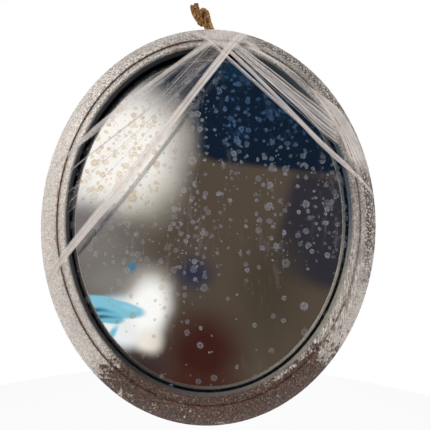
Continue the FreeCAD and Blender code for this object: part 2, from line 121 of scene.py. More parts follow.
def angles(count):
    """Angles at equal steps round a full turn."""
    return [2 * math.pi * step / count for step in range(count)]


def toward(side, other, angle):
    """The direction that lies at an angle from one side towards the other."""
    return side * math.cos(angle) + other * math.sin(angle)


def face_depth(inward):
    """Depth of the frame's front at a distance in, and of the plane of the lip inside it."""
    if inward >= LIP_IN:
        return LIP_DEPTH
    if inward <= NOSE_IN:
        return NOSE_DEPTH - (NOSE_IN - inward) * CHEEK_SLOPE
    inwards, depths = FACE
    return float(np.interp(inward, inwards, depths))


band_arc = bulged((NOSE_DEPTH, NOSE_IN), (BAND_DEPTH, BAND_IN), BAND_RADIUS, 30)
slip_arc = bulged((SLIP_DEPTH, SLIP_IN), (LIP_DEPTH, LIP_IN), SLIP_RADIUS, 14)
FACE = ([row[1] for row in band_arc + slip_arc], [row[0] for row in band_arc + slip_arc])

# ---- node helper ----


class Nodes:
    """Short calls that build the nodes of one new material, or of the world."""

    def __init__(self, name, world=None):
        self.owner = world or bpy.data.materials.new(name)
        self.owner.use_nodes = True
        self.tree = self.owner.node_tree
        self.shader = self.tree.nodes["Background" if world else "Principled BSDF"]
        self.place = self.add("TexCoord").outputs["Object"]

    def add(self, kind, inputs=None, **settings):
        """A new node with its settings made and its inputs joined or set."""
        node = self.tree.nodes.new("ShaderNode" + kind)
        for key, value in settings.items():
            setattr(node, key, value)
        for key, value in (inputs or {}).items():
            self.put(node.inputs[key], value)
        return node

    def put(self, socket, value):
        if isinstance(value, bpy.types.NodeSocket):
            self.tree.links.new(value, socket)
        elif socket.type == "RGBA" and len(value) == 3:
            socket.default_value = (*value, 1)
        else:
            socket.default_value = value

    def math(self, operation, first, second=0.0, third=0.0, clamp=False):
        return self.add("Math", {0: first, 1: second, 2: third},
                        operation=operation, use_clamp=clamp).outputs[0]

    def times(self, first, second):
        return self.math("MULTIPLY", first, second)

    def scaled(self, value, factor, more):
        """value * factor + more"""
        return self.math("MULTIPLY_ADD", value, factor, more)

    def noise(self, scale, detail=3.0, roughness=0.55, vector=None, distortion=0.0):
        return self.add("TexNoise", {
            "Vector": vector or self.place, "Scale": scale, "Detail": detail,
            "Roughness": roughness, "Distortion": distortion}).outputs["Fac"]

    def cells(self, scale, vector=None, dimensions="3D"):
        """The distance to the middle of each cell, and three random numbers for the cell."""
        cell = self.add("TexVoronoi", {"Vector": vector or self.place, "Scale": scale},
                        voronoi_dimensions=dimensions)
        draws = self.add("SeparateColor", {0: cell.outputs["Color"]})
        return cell.outputs["Distance"], *draws.outputs

    def stretch(self, scales, turn=(0, 0, 0), vector=None):
        return self.add("Mapping", {
            "Vector": vector or self.place, "Rotation": turn, "Scale": scales}).outputs["Vector"]

    def shaken(self, scale, reach):
        """The object's coordinates, pushed about by noise as far as reach."""
        push = self.add("TexNoise", {"Vector": self.place, "Scale": scale, "Detail": 2.0})
        return self.add("VectorMath", {
            0: push.outputs["Color"], 1: reach, 2: self.place}, operation="MULTIPLY_ADD").outputs[0]

    def ramp(self, value, stops):
        """A colour ramp; each stop is (position, colour or grey)."""
        node = self.add("ValToRGB", {"Fac": value})
        elements = node.color_ramp.elements
        while len(elements) < len(stops):
            elements.new(0.5)
        for element, (position, colour) in zip(elements, stops):
            element.position = position
            grey = isinstance(colour, (int, float))
            element.color = (colour, colour, colour, 1) if grey else (*colour, 1)
        return node.outputs["Color"]

    def step(self, value, low, high, first=0.0, last=1.0):
        """Eases from first to last as value goes from low to high."""
        return self.add("MapRange", {
            "Value": value, "From Min": low, "From Max": high, "To Min": first, "To Max": last},
            interpolation_type="SMOOTHSTEP").outputs[0]

    def window(self, value, start, full, fade, end):
        """1 where value is between full and fade, easing to 0 at start and end."""
        return self.times(self.step(value, start, full), self.step(value, fade, end, 1.0, 0.0))

    def blend(self, factor, first, second, blend_type="MIX"):
        """The Mix node's colour sockets are its inputs 6 and 7 and its output 2."""
        return self.add("Mix", {0: factor, 6: first, 7: second},
                        data_type="RGBA", blend_type=blend_type).outputs[2]

    def tint(self, base, mask, share, colour, blend_type="MIX"):
        """Lays a colour over base, as thick as mask times share."""
        return self.blend(self.times(mask, share), base, colour, blend_type)

    def named(self, attribute):
        return self.add("Attribute", attribute_name=attribute).outputs["Fac"]

    def bump(self, height, distance, strength):
        return self.add("Bump", {
            "Height": height, "Distance": distance, "Strength": strength}).outputs["Normal"]

    def split(self, vector=None):
        return self.add("SeparateXYZ", {0: vector or self.place}).outputs

    def seen(self):
        """1 for the camera and in gloss and glass, and 0 for a ray that only carries light."""
        ray = self.add("LightPath").outputs
        seen = self.math("MAXIMUM", ray["Is Camera Ray"], ray["Is Glossy Ray"])
        return self.math("MAXIMUM", seen, ray["Is Transmission Ray"])

    def surface(self, **values):
        """Sets the shader's sockets; an underscore stands for a space in a socket's name."""
        for key, value in values.items():
            self.put(self.shader.inputs[key.replace("_", " ")], value)
        return self.owner

    def mixed(self, factor, first, second):
        """Shows a mix of two shaders, with factor as the share of the second."""
        mix = self.add("MixShader", {0: factor, 1: first.outputs[0], 2: second.outputs[0]})
        self.put(self.tree.nodes["Material Output"].inputs[0], mix.outputs[0])
        return self.owner


# ---- meshes ----


def placed(name, data):
    """A new object in the scene."""
    thing = bpy.data.objects.new(name, data)
    bpy.context.scene.collection.objects.link(thing)
    return thing


def mesh_object(name, points, faces, material):
    mesh = bpy.data.meshes.new(name)
    mesh.from_pydata([tuple(point) for point in points], [], faces)
    mesh.materials.append(material)
    return placed(name, mesh)


def new_piece(name, points, faces, material, smooth=True):
    """A mesh object that rides on the frame."""
    piece = mesh_object(name, points, faces, material)
    piece.data.polygons.foreach_set("use_smooth", [smooth] * len(faces))
    piece.data.update()
    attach(piece, "root")
    return piece


def coat(node, material):
    """Gives a CAD node its material."""
    NODES[node].data.materials.clear()
    NODES[node].data.materials.append(material)


def store(piece, name, values):
    """Keeps one number for each vertex, for the material to read."""
    attribute = piece.data.attributes.new(name, "FLOAT", "POINT")
    attribute.data.foreach_set("value", np.asarray(values, np.float32))


def grid_faces(rows, columns, first=0, rows_join=False, columns_join=False):
    """Quads of a grid of rows by columns points, whose ends are joined one way or the other."""
    faces = []
    for row in range(rows if rows_join else rows - 1):
        here, there = first + row * columns, first + (row + 1) % rows * columns
        for column in range(columns if columns_join else columns - 1):
            following = (column + 1) % columns
            faces.append((here + column, here + following, there + following, there + column))
    return faces


def frames(line):
    """A tangent and two sides for each point of a line, without twist."""
    side = None
    rows = []
    for index in range(len(line)):
        tangent = (line[min(index + 1, len(line) - 1)] - line[max(index - 1, 0)]).normalized()
        side = tangent.orthogonal() if side is None else side
        side = (side - tangent * side.dot(tangent)).normalized()
        rows.append((tangent, side, tangent.cross(side)))
    return rows


def tube_faces(rings, sides, first=0):
    """Faces of a tube of rings of points that follow each other, capped at both ends."""
    last = first + (rings - 1) * sides
    caps = [tuple(reversed(range(first, first + sides))), tuple(range(last, last + sides))]
    return grid_faces(rings, sides, first, columns_join=True) + caps


def tube(path, radius, sides):
    """Points and faces of a tube along a path; radius is one number or one for each point."""
    path = [Vector(point) for point in path]
    radii = radius if isinstance(radius, list) else [radius] * len(path)
    points = []
    for centre, reach, (_tangent, side, other) in zip(path, radii, frames(path)):
        points += [centre + toward(side, other, angle) * reach for angle in angles(sides)]
    return points, tube_faces(len(path), sides)


def joined(parts):
    """One list of points and faces from several."""
    points, faces = [], []
    for some_points, some_faces in parts:
        shift = len(points)
        points.extend(some_points)
        faces.extend(tuple(corner + shift for corner in face) for face in some_faces)
    return points, faces


# ---- camera, light and stage ----


def make_camera():
    """A phone held a little below the middle of the mirror and close to it."""
    sensor_width, lens = 36, 25.116
    aside, below, away = -1.31 * MM, -57.0 * MM, 295.8 * MM
    pitch, yaw, roll = 0.1625, -0.02, 0.02
    camera = placed("camera", bpy.data.cameras.new("camera"))
    camera.data.sensor_width = sensor_width
    camera.data.lens = lens
    camera.data.clip_start = 10 * MM
    place = Matrix.Translation(at(aside, below, GLASS_DEPTH + away))
    level = Matrix.Rotation(math.radians(90), 4, "X")
    aim = Matrix.Rotation(yaw, 4, "Y") @ Matrix.Rotation(pitch, 4, "X")
    camera.matrix_world = place @ level @ aim @ Matrix.Rotation(roll, 4, "Z")
    bpy.context.scene.camera = camera


def make_world():
    """A white room: white to the eye and in gloss, and a plain level as light."""
    ambient = 0.55
    world = bpy.data.worlds.new("studio")
    bpy.context.scene.world = world
    nodes = Nodes("studio", world)
    level = nodes.add("MapRange", {"Value": nodes.seen(), "To Min": ambient}).outputs[0]
    nodes.surface(Color=(1, 1, 1), Strength=level)


def make_lamp(name, place, size, power):
    """A soft lamp that faces the mirror's middle and isn't seen itself."""
    lamp = placed(name, bpy.data.lights.new(name, "AREA"))
    lamp.data.shape = "DISK"
    lamp.data.size = size
    lamp.data.energy = power
    lamp.location = place
    lamp.rotation_euler = (CENTRE - Vector(place)).to_track_quat("-Z", "Y").to_euler()
    lamp.visible_camera = False


def stage_piece(name, corners, material):
    """One flat face that is not part of the mirror."""
    piece = mesh_object(name, corners, [tuple(range(len(corners)))], material)
    return piece


def make_floor():
    """A round pale floor under the mirror that keeps its shadow and is nearly white to the eye."""
    whiteness, drop, radius, sides = 0.86, 0.45, 1.6, 96
    nodes = Nodes("floor")
    grain = nodes.ramp(nodes.noise(3.0), [(0.3, 0.86), (0.7, 0.9)])
    nodes.surface(Base_Color=grain, Roughness=0.9)
    glow = nodes.add("Emission", {"Color": (1, 1, 1), "Strength": 1.0})
    material = nodes.mixed(nodes.times(nodes.seen(), whiteness), nodes.shader, glow)
    middle = Vector((CENTRE.x, 0, CENTRE.z - SEMI_HEIGHT - drop))
    corners = [middle + toward(Vector((1, 0, 0)), Vector((0, 1, 0)), angle) * radius
               for angle in angles(sides)]
    stage_piece("floor", corners, material)


def make_room_card():
    """A large glowing card behind the camera, seen only in the mirror: a painted reflection of a
    dim room, in soft patches.
    """
    half, forward, core = 1.4, 0.8, 0.74
    nodes = Nodes("room_card")
    colour = (0.086, 0.066, 0.050)
    spot = nodes.shaken(5.0, (0.05, 0.05, 0.05))
    for *shape, shade in ROOM_PATCHES:
        colour = nodes.blend(patch_mask(nodes, spot, *shape), colour, shade)
    glow = nodes.add("Emission", {"Color": colour, "Strength": 1.0})
    inside = patch_mask(nodes, nodes.place, (0, 0), (half, half), 0, core, SQUARE)
    material = nodes.mixed(inside, nodes.add("BsdfTransparent"), glow)
    corners = [at(right * half, up * half, forward)
               for right, up in ((-1, -1), (1, -1), (1, 1), (-1, 1))]
    card = stage_piece("room_card", corners, material)
    for kind in ("camera", "diffuse", "shadow", "transmission"):
        setattr(card, "visible_" + kind, False)


# Soft patches of the dim room in the painted reflection: the place (right, up) from the oval's
# centre, the half sizes, the lean in degrees, the share of the size where the patch starts to fade,
# the power that shapes its corners, and the colour.
ROUND, SQUARE = 2.0, 6.0
ROOM_PATCHES = [
    ((-0.33, 0.60), (0.30, 0.26), -30, 0.1, ROUND, (0.20, 0.21, 0.23)),
    ((-0.10, 0.70), (0.16, 0.26), -20, 0.2, ROUND, (0.020, 0.026, 0.040)),
    ((0.31, 0.62), (0.37, 0.31), 4, 0.90, SQUARE, (0.006, 0.013, 0.028)),
    ((0.10, 0.80), (0.22, 0.16), 0, 0.1, ROUND, (0.006, 0.030, 0.060)),
    ((0.46, 0.10), (0.20, 0.24), 12, 0.70, SQUARE, (0.030, 0.028, 0.036)),
    ((0.24, -0.10), (0.18, 0.30), 0, 0.1, ROUND, (0.062, 0.048, 0.034)),
    ((-0.42, 0.16), (0.16, 0.14), 0, 0.2, ROUND, (0.26, 0.26, 0.30)),
    ((-0.22, 0.24), (0.20, 0.20), -20, 0.1, ROUND, (0.42, 0.39, 0.34)),
    ((-0.335, 0.385), (0.360, 0.318), -35, 0.32, ROUND, (1.0, 0.97, 0.93)),
    ((-0.43, 0.10), (0.17, 0.12), -12, 0.1, ROUND, (0.19, 0.175, 0.175)),
    ((-0.40, 0.02), (0.30, 0.13), -10, 0.1, ROUND, (0.20, 0.18, 0.17)),
    ((-0.30, -0.10), (0.26, 0.15), 0, 0.1, ROUND, (0.22, 0.205, 0.19)),
    ((-0.31, -0.24), (0.16, 0.10), -34, 0.5, ROUND, (0.50, 0.68, 0.80)),
    ((-0.24, -0.235), (0.14, 0.105), 0, 0.5, ROUND, (0.86, 0.90, 0.93)),
    ((-0.18, -0.175), (0.125, 0.165), 0, 0.1, ROUND, (0.66, 0.63, 0.58)),
    ((-0.18, -0.19), (0.105, 0.130), 12, 0.32, ROUND, (1.0, 1.0, 1.0)),
    ((-0.165, -0.292), (0.062, 0.058), 0, 0.3, ROUND, (0.88, 0.83, 0.75)),
    ((-0.23, -0.392), (0.18, 0.085), -14, 0.3, ROUND, (0.042, 0.028, 0.028)),
    ((-0.318, -0.188), (0.145, 0.036), 8, 0.75, ROUND, (0.23, 0.55, 0.70)),
    ((-0.335, -0.219), (0.085, 0.030), 9, 0.75, ROUND, (0.18, 0.50, 0.66)),
    ((-0.24, -0.188), (0.050, 0.014), 10, 0.3, ROUND, (0.30, 0.62, 0.76)),
    ((-0.395, -0.200), (0.12, 0.012), 3, 0.2, ROUND, (0.024, 0.10, 0.18)),
    ((-0.365, -0.226), (0.11, 0.011), -2, 0.2, ROUND, (0.024, 0.10, 0.17)),
    ((-0.297, -0.288), (0.016, 0.058), 26, 0.4, ROUND, (0.20, 0.55, 0.72)),
    ((-0.241, -0.048), (0.022, 0.030), 10, 0.2, ROUND, (0.050, 0.19, 0.32)),
    ((-0.03, -0.07), (0.10, 0.09), 0, 0.1, ROUND, (0.030, 0.032, 0.058)),
    ((0.01, -0.33), (0.20, 0.20), 0, 0.2, ROUND, (0.048, 0.014, 0.011)),
    ((-0.04, -0.48), (0.34, 0.13), 0, 0.3, ROUND, (0.060, 0.019, 0.014)),
]


def patch_mask(nodes, spot, place, half, turn, core, power):
    """1 inside a soft oval or rounded square, and 0 outside it."""
    centre = at(*place, 0)
    inside = nodes.add("Mapping", {
        "Vector": spot, "Location": (centre.x, 0, centre.z),
        "Rotation": (0, math.radians(turn), 0), "Scale": (half[0], 1, half[1])},
        vector_type="TEXTURE")
    right, _depth, up = nodes.split(inside.outputs[0])
    far = nodes.math("ADD", *(nodes.math("POWER", nodes.math("ABSOLUTE", side), power)
                              for side in (right, up)))
    return nodes.step(nodes.math("POWER", far, 1 / power), core, 1.0, 1.0, 0.0)


# ---- leafed frame ----

# By share of the way round clockwise from the top: how much of the bole shows through the leaf,
# how bright the leaf is painted (painted light where it faces the light on the left, painted shade
# where it turns away), how much rust there is in the seam, and the inner wall's colour with painted
# light and shade on it: pale where it faces the light low on the right, dark on the left and top.
WORN = [(0.0, 0.24), (0.05, 0.56), (0.14, 0.60), (0.18, 0.34), (0.22, 0.60), (0.28, 0.60),
        (0.33, 0.20), (0.37, 0.50), (0.41, 1.00), (0.50, 0.86), (0.55, 0.92), (0.585, 0.82),
        (0.620, 0.10), (0.85, 0.05), (1.0, 0.24)]
LEAF_LIGHT_AND_SHADE = [(0.0, 0.66), (0.10, 0.60), (0.20, 0.54), (0.30, 0.80), (0.36, 1.0), (0.41, 0.36),
        (0.47, 0.74), (0.58, 0.85), (0.62, 1.0), (0.86, 1.0), (0.93, 0.82), (1.0, 0.66)]
RUST = [(0.0, 0.2), (0.10, 0.1), (0.30, 0.2), (0.34, 1.0), (0.38, 0.2), (0.62, 0.3), (0.76, 0.9),
        (0.80, 0.2), (0.92, 0.3), (0.95, 1.0), (1.0, 0.2)]
WALL_PAINT_AND_SHADE = [(0.0, (0.018, 0.027, 0.035)), (0.10, (0.055, 0.085, 0.105)),
              (0.25, (0.085, 0.125, 0.165)), (0.31, (0.34, 0.32, 0.27)),
              (0.39, (0.34, 0.30, 0.24)), (0.46, (0.16, 0.145, 0.130)),
              (0.58, (0.045, 0.040, 0.040)), (0.70, (0.060, 0.058, 0.062)),
              (0.88, (0.040, 0.040, 0.046)), (0.95, (0.030, 0.034, 0.034)),
              (1.0, (0.018, 0.027, 0.035))]


def leaf_material():
    """Silver leaf on dark red bole: crackled, hammered, rubbed through, dark brown in the seam,
    with painted light, painted shade and painted glints in its colour.
    """
    nodes = Nodes("silver_leaf")
    turn, inward = nodes.named("turn"), nodes.named("inward")
    times, scaled, step, window = nodes.times, nodes.scaled, nodes.step, nodes.window
    grain, ramp, blend, tint = nodes.noise, nodes.ramp, nodes.blend, nodes.tint
    inner_right = times(window(turn, 0.02, 0.05, 0.30, 0.36),
                        nodes.math("SUBTRACT", 1.0, step(inward, 7.0, 14.0, 1.0, 0.0)))
    lower_lip = times(step(inward, 21.5, 25.5), window(turn, 0.33, 0.37, 0.41, 0.47))
    worn = times(ramp(turn, WORN), scaled(inner_right, -0.75, 1.0))
    worn = times(worn, scaled(lower_lip, -0.50, 1.0))

    # The crumple and facet ramps are partly the leaf's own uneven tone and partly painted glints
    # and painted shade of its crinkles, from near black to near white.
    crumple = grain(520, 3, 0.7, distortion=0.6)
    _distance, fleck, second, third = nodes.cells(700)
    leaf = ramp(crumple, [
        (0.32, (0.13, 0.10, 0.080)), (0.43, (0.35, 0.295, 0.25)), (0.52, (0.62, 0.55, 0.49)),
        (0.62, (1.0, 0.94, 0.88))])
    facet_tone_and_glints = ramp(fleck, [
        (0.0, (0.12, 0.092, 0.075)), (0.20, (0.33, 0.28, 0.245)), (0.50, (0.66, 0.59, 0.53)),
        (0.80, (1.0, 0.96, 0.91))])
    leaf = blend(scaled(inner_right, -0.35, 0.60), leaf, facet_tone_and_glints)
    leaf = blend(step(grain(30, 2, 0.6), 0.36, 0.64, 0.0, 0.22), leaf, (0.24, 0.20, 0.175))

    # Calmer leaf on the left and low on the right, painted paler on the left where the light falls;
    # then painted light and shade round the oval, and golden along the bottom.
    leaf = tint(leaf, window(turn, 0.59, 0.63, 0.80, 0.86), 0.60, (0.74, 0.67, 0.61))
    leaf = tint(leaf, window(turn, 0.27, 0.31, 0.36, 0.40), 0.45, (0.56, 0.50, 0.45))
    leaf = blend(1.0, leaf, ramp(turn, LEAF_LIGHT_AND_SHADE), "MULTIPLY")
    leaf = tint(leaf, window(turn, 0.36, 0.43, 0.56, 0.62), 0.7, (0.90, 0.74, 0.58), "MULTIPLY")
    brushed = grain(900, 2, 0.6, nodes.stretch((1, 1, 0.10), (0, math.radians(38), 0)))
    streaked = ramp(brushed, [
        (0.36, (0.20, 0.165, 0.14)), (0.50, (0.50, 0.45, 0.40)), (0.62, (0.95, 0.92, 0.88))])
    low_right = times(window(turn, 0.24, 0.31, 0.42, 0.48), step(inward, 9.0, 16.0))
    leaf = tint(leaf, low_right, 0.7, streaked)

    bole = ramp(grain(600, 3, 0.7), [
        (0.36, (0.020, 0.007, 0.005)), (0.50, (0.066, 0.027, 0.018)), (0.61, (0.14, 0.084, 0.057)),
        (0.70, (0.36, 0.29, 0.22))])
    wander = scaled(grain(45, 2, 0.6), 0.45, times(grain(250, 4, 0.75), 0.75))
    threshold = scaled(worn, -0.36, 0.80)
    rubbed = step(nodes.math("SUBTRACT", wander, threshold), -0.03, 0.03)
    colour = blend(rubbed, leaf, bole)
    peppered = times(window(turn, 0.03, 0.06, 0.27, 0.33), window(inward, 2.0, 5.0, 12.0, 17.0))
    colour = tint(colour, peppered, 0.55, (0.78, 0.71, 0.64))
    pepper = step(grain(480, 3, 0.7), 0.44, 0.48, 0.0, 0.95)
    colour = tint(colour, peppered, pepper, (0.040, 0.022, 0.015))

    # The seam between the band and the slip: a dark brown stain all round, deepened on the left by
    # painted shade where the step faces away from the light, and rusty in places.
    groove = window(inward, 18.7, 19.3, 19.5, 20.1)
    groove_stain_and_shade = scaled(window(turn, 0.55, 0.62, 0.96, 0.99), 0.75, 0.15)
    colour = tint(colour, groove, groove_stain_and_shade, (0.055, 0.022, 0.014))
    rusty = times(times(window(inward, 16.0, 18.8, 19.8, 22.5), ramp(turn, RUST)),
                  step(grain(170, 2, 0.6), 0.52, 0.60))
    colour = tint(colour, rusty, 0.75, (0.34, 0.12, 0.035))

    # The painted wall inside the lip, with painted light and shade round the oval, and black at its
    # foot:
    # painted shade where the wall meets the glass.
    wall = step(inward, LIP_IN / MM + 0.05, LIP_IN / MM + 0.3)
    wall_paint_and_shade = blend(step(grain(240, 3, 0.6), 0.46, 0.66, 0.0, 0.30),
                  ramp(turn, WALL_PAINT_AND_SHADE), (0.035, 0.034, 0.034))
    foot = step(times(nodes.split()[1], -1.0), GLASS_DEPTH + 2.6 * MM, GLASS_DEPTH + 1.2 * MM)
    colour = blend(wall, colour, blend(foot, wall_paint_and_shade, BLACK))

    dull = nodes.math("MAXIMUM", rubbed, wall)
    height = scaled(rubbed, -0.12, scaled(second, 0.5, crumple))
    return nodes.surface(
        Base_Color=colour,
        Metallic=scaled(dull, -0.72, 0.72),
        Specular_IOR_Level=scaled(wall, -0.42, 0.5),
        Roughness=scaled(dull, 0.20, scaled(third, 0.2, 0.26)),
        Normal=nodes.bump(height, 0.7 * MM, 1.0))


def relief(place):
    """Height of the leafed gesso over the wood: soft hammering with small pits and laps."""
    return (0.16 + 0.05 * noise.noise(place * 90) + 0.07 * noise.noise(place * 420)) * MM


def leafed_ring(name, section, material, around):
    """A skin laid on part of the frame's section, all the way round."""
    rows = []
    for index, corner in enumerate(section):
        along = section[min(index + 1, len(section) - 1)] - section[max(index - 1, 0)]
        rows.append((corner, Vector((along.y, -along.x)).normalized()))
    points, turns, inwards = [], [], []
    for step, turn in enumerate(angles(around)):
        for corner, out in rows:
            depth, inward = corner
            raised = corner + out * relief(at(*outline(turn, inward), depth))
            points.append(at(*outline(turn, raised.y), raised.x))
            turns.append(step / around)
            inwards.append(inward / MM)
    piece = new_piece(name, points, grid_faces(around, len(rows), rows_join=True), material)
    store(piece, "turn", turns)
    store(piece, "inward", inwards)


def densely(corners, spacing):
    """The same section with points no further apart than spacing."""
    rows = [Vector(corners[0])]
    for corner in corners[1:]:
        start, end = rows[-1], Vector(corner)
        steps = max(1, math.ceil((end - start).length / spacing))
        rows += [start.lerp(end, step / steps) for step in range(1, steps + 1)]
    return rows


def make_leaf():
    """One skin on the outside and the band, and one on the slip and the wall inside it."""
    material = leaf_material()
    spacing, gap = 0.8 * MM, 0.1 * MM
    outer = [(BACK_DEPTH + 1.2 * MM, 0), (GLASS_DEPTH - 1.2 * MM, 0), (CHEEK_DEPTH, CHEEK_IN),
             *band_arc, (STEP_DEPTH, SEAM_IN), (GROOVE_DEPTH, SEAM_IN)]
    inner = [(GROOVE_DEPTH, SEAM_IN + gap), (STEP_DEPTH - 0.6 * MM, SEAM_IN + gap),
             *slip_arc, (GLASS_DEPTH + 2 * MM, SIGHT_IN), (GLASS_DEPTH + 0.05 * MM, SIGHT_IN)]
    around = 1500
    leafed_ring("leaf_moulding", densely(outer, spacing), material, around)
    leafed_ring("leaf_slip", densely(inner, spacing), material, around)


# ---- mirror ----


def foxing(nodes, flat, scale, share, size, dense):
    """One layer of round tarnish spots, each a soft disc that is paler in its rim."""
    distance, picked, breadth, pale = nodes.cells(scale, flat, "2D")
    radius = nodes.scaled(breadth, size * 0.55, size * 0.45)
    near = nodes.math("DIVIDE", distance, radius)
    disc = nodes.step(near, 0.58, 1.0, 1.0, 0.0)
    ring = nodes.scaled(nodes.step(near, 0.25, 0.80), 0.40, 0.55)
    wanted = nodes.math("LESS_THAN", picked, nodes.times(dense, share))
    spot = nodes.times(nodes.times(disc, ring), wanted)
    return nodes.times(spot, nodes.scaled(pale, 0.6, 0.4))


def silvering_material():
    """An old silvering: a bright mirror with cloudy haze and round spots of tarnish."""
    nodes = Nodes("silvering")
    times, scaled, step = nodes.times, nodes.scaled, nodes.step
    right, _depth, up = nodes.split(nodes.shaken(420.0, (0.0022, 0.0, 0.0022)))
    flat = nodes.add("CombineXYZ", {0: right, 1: up}).outputs[0]

    def across(low, high):
        """Eases from 0 to 1 between two places right of the oval's centre, in mm."""
        return step(right, CENTRE.x + low * MM, CENTRE.x + high * MM)

    def above(low, high, first=0.0, last=1.0):
        """The same between two heights over the oval's centre."""
        return step(up, CENTRE.z + low * MM, CENTRE.z + high * MM, first, last)

    # How crowded the spots are: few at the bottom and low on the right, many on the left.
    columns = nodes.noise(8.0, 2, 0.6, nodes.stretch((3.2, 1.0, 0.8)))
    high = above(-110, 20, 0.45, 1.0)
    dense = times(times(step(columns, 0.36, 0.60, 0.22, 1.0), high),
                  scaled(times(above(-30, -80), across(0, 50)), -0.8, 1.0))
    left_side = times(across(-30, -60), above(-60, -20))
    dense = nodes.math("MAXIMUM", dense, times(left_side, 0.85))
    spots = 0.0
    for scale, share, size in ((50, 0.85, 0.27), (74, 0.95, 0.31), (115, 0.90, 0.33),
                               (260, 0.25, 0.32)):
        spots = nodes.math("MAXIMUM", spots, foxing(nodes, flat, scale, share, size, dense))
    spots = times(spots, step(nodes.noise(620, 2, 0.6), 0.34, 0.60, 0.55, 1.0))
    runs = nodes.noise(70, 2, 0.6, nodes.stretch((2.4, 1.0, 0.5)))
    haze = times(step(runs, 0.50, 0.75), step(columns, 0.44, 0.62, 0.0, 0.30))
    fog = nodes.math("MAXIMUM", spots, times(haze, high))

    # Painted shade: a dark navy edge of the silvering along the top and upper left, standing for
    # the shaded inner wall seen in the mirror; far is 0 at the oval's centre and 1 at the sight
    # edge.
    rim_x = nodes.math("DIVIDE", nodes.math("SUBTRACT", right, CENTRE.x), SEMI_WIDTH - SIGHT_IN)
    rim_z = nodes.math("DIVIDE", nodes.math("SUBTRACT", up, CENTRE.z), SEMI_HEIGHT - SIGHT_IN)
    far = nodes.math("SQRT", scaled(rim_x, rim_x, times(rim_z, rim_z)))
    shaded_side = step(scaled(rim_x, 0.4, times(rim_z, -0.8)), -0.40, -0.75)
    rim = times(step(far, 0.950, 0.992), shaded_side)
    colour = nodes.blend(fog, (0.95, 0.95, 0.93), (0.86, 0.54, 0.16))
    nodes.surface(Base_Color=nodes.tint(colour, rim, 0.93, (0.012, 0.016, 0.035)),
                  Metallic=1.0, Roughness=0.02)

    # The film of tarnish is grey, and blue high on the right.
    blue = times(across(-12, 22), above(52, 82))
    tarnish = nodes.blend(blue, (0.50, 0.54, 0.62), (0.15, 0.31, 0.58))
    film = nodes.add("BsdfDiffuse", {"Color": tarnish, "Roughness": 0.5})
    fog = times(fog, nodes.math("SUBTRACT", 1.0, rim))
    return nodes.mixed(times(fog, 0.60), nodes.shader, film)


def glass_material():
    """Clear glass with a faint uneven gloss."""
    nodes = Nodes("clear_glass")
    gloss = nodes.add("Fresnel", {"IOR": 1.45}).outputs[0]
    smears = nodes.step(nodes.noise(24, 2, 0.6), 0.40, 0.70, 0.4, 1.0)
    nodes.surface(Base_Color=(0.88, 0.93, 0.95), Metallic=1.0, Roughness=0.04)
    clear = nodes.add("BsdfTransparent", {"Color": (1, 1, 1)})
    return nodes.mixed(nodes.times(nodes.times(gloss, smears), 0.5), clear, nodes.shader)


def make_mirror():
    """The silvering lies where the glass makes it seem to be, two thirds of its thickness in."""
    low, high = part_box("mirror_glass")
    depth = -low.y - (high.y - low.y) * 2 / 3
    half_width, half_height = (high.x - low.x) / 2, (high.z - low.z) / 2
    rings, around = 24, 180
    points = [at(0, 0, depth)]
    for ring in range(1, rings + 1):
        share = ring / rings * 0.999
        points += [at(half_width * share * math.sin(angle), half_height * share * math.cos(angle),
                      depth) for angle in angles(around)]
    faces = [(0, 1 + (step + 1) % around, 1 + step) for step in range(around)]
    faces += grid_faces(rings, around, 1, columns_join=True)
    piece = new_piece("mirror_silvering", points, faces, silvering_material())
    coat("mirror_glass", glass_material())


# ---- jute cord ----

CORD_RADIUS = 2.2 * MM
CORD_PITCH = 8.5 * MM
CORD_SPACING = 0.4 * MM
LOOP_ROUTE = [(-11.3, 217.4), (-8.1, 208.4), (-4.8, 199.5), (-2.2, 189.6),
              (4.6, 192.2), (0.4, 201.2), (-3.3, 210.2), (-6.4, 219.2)]
TAIL_LEFT_ROUTE = [(-19.2, 221.0), (-22.4, 226.2), (-25.0, 232.0), (-26.6, 238.8)]
TAIL_RIGHT_ROUTE = [(-18.2, 226.0), (-19.6, 230.9), (-21.0, 236.0), (-22.2, 241.3)]

# Strands of the pulled-tight knot: (right, up) from the oval's centre and forward from the wall.
KNOT_STRANDS = [
    [(-6.4, 219.2, 6.0), (-7.4, 224.2, 7.6), (-9.6, 229.0, 9.0), (-13.4, 230.6, 9.8),
     (-16.4, 227.6, 10.2), (-17.4, 223.4, 10.2), (-17.2, 219.0, 9.2), (-14.6, 216.4, 7.0),
     (-11.0, 216.6, 4.6), (-9.0, 219.0, 3.4)],
    [(-11.3, 217.4, 6.0), (-11.0, 221.5, 6.8), (-11.0, 226.0, 7.4), (-14.6, 227.0, 7.2),
     (-18.0, 224.4, 7.0), (-19.0, 220.6, 6.8), (-17.8, 217.4, 5.8), (-14.8, 216.2, 4.4),
     (-12.0, 218.0, 3.4)],
    [(-12.5, 218.0, 4.4), (-16.0, 219.0, 5.0), (-19.2, 221.0, 6.0)],
    [(-12.0, 220.5, 4.6), (-15.4, 223.0, 5.0), (-18.2, 226.4, 6.0)],
]


def lengths_along(line):
    """How far each point of a line lies from its start."""
    lengths = [0.0]
    for before, after in zip(line, line[1:]):
        lengths.append(lengths[-1] + (after - before).length)
    return lengths


def evenly(line, count):
    """The same line with count points at even steps along it."""
    lengths = lengths_along(line)
    wanted = np.linspace(0, lengths[-1], count)
    columns = [np.interp(wanted, lengths, column) for column in zip(*line)]
    return [Vector(place) for place in zip(*columns)]


